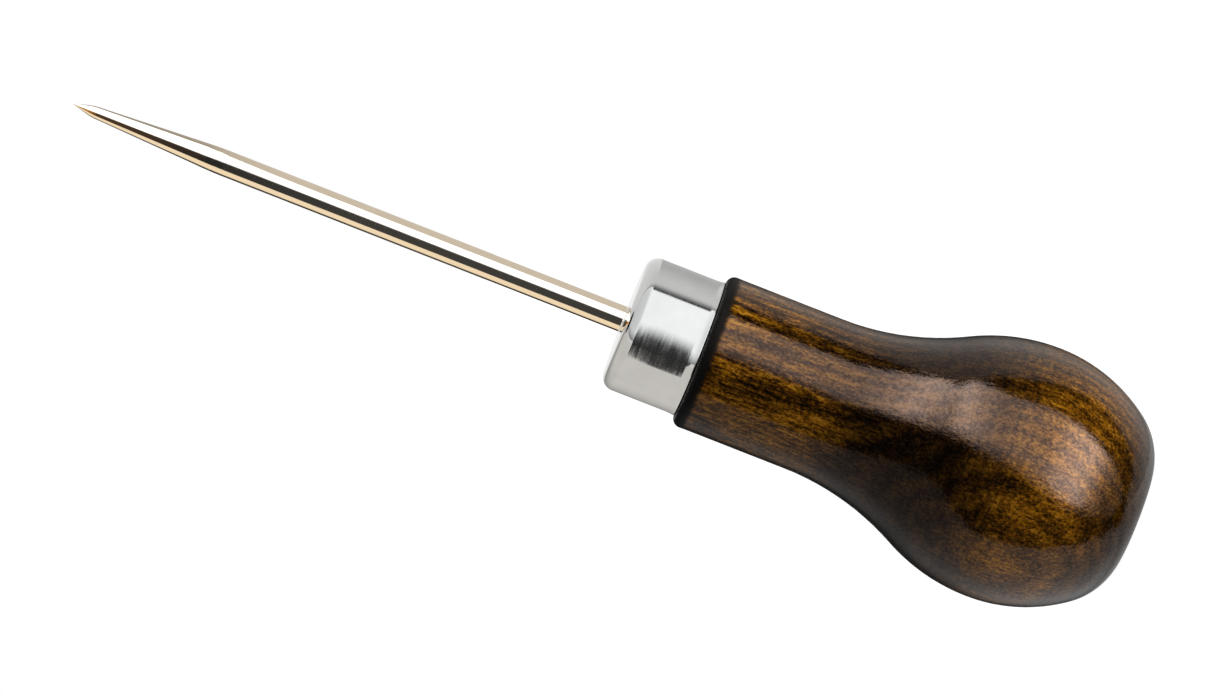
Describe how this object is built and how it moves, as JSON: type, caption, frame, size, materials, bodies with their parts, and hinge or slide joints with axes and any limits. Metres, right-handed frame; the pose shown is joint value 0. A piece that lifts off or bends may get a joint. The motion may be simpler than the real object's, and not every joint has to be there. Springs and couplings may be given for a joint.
{
  "type": "scratch awl",
  "caption": "Scratch awl for leatherwork: round steel blade with a long taper, drawn metal ferrule and a turned pear-shaped wooden handle.",
  "frame": {"origin": "centre of the flat butt face, where the awl stands upright", "axes": "+Z along the tool's axis from the butt to the point; the awl is round about Z, and +X is where the ears of the hidden tang point"},
  "size_m": [0.032, 0.032, 0.1369],
  "materials": {
    "stained_wood": "dark walnut stain under gloss lacquer, blackened shoulder",
    "nickel_plate": "bright nickel plate, lightly brushed around",
    "polished_steel": "polished, with faint grinding marks at the point",
    "cured_resin": "translucent amber, hidden"
  },
  "bodies": {
    "root": {"handle": "stained_wood", "ferrule": "nickel_plate", "blade": "polished_steel", "tang_adhesive": "cured_resin"}
  },
  "joints": []
}
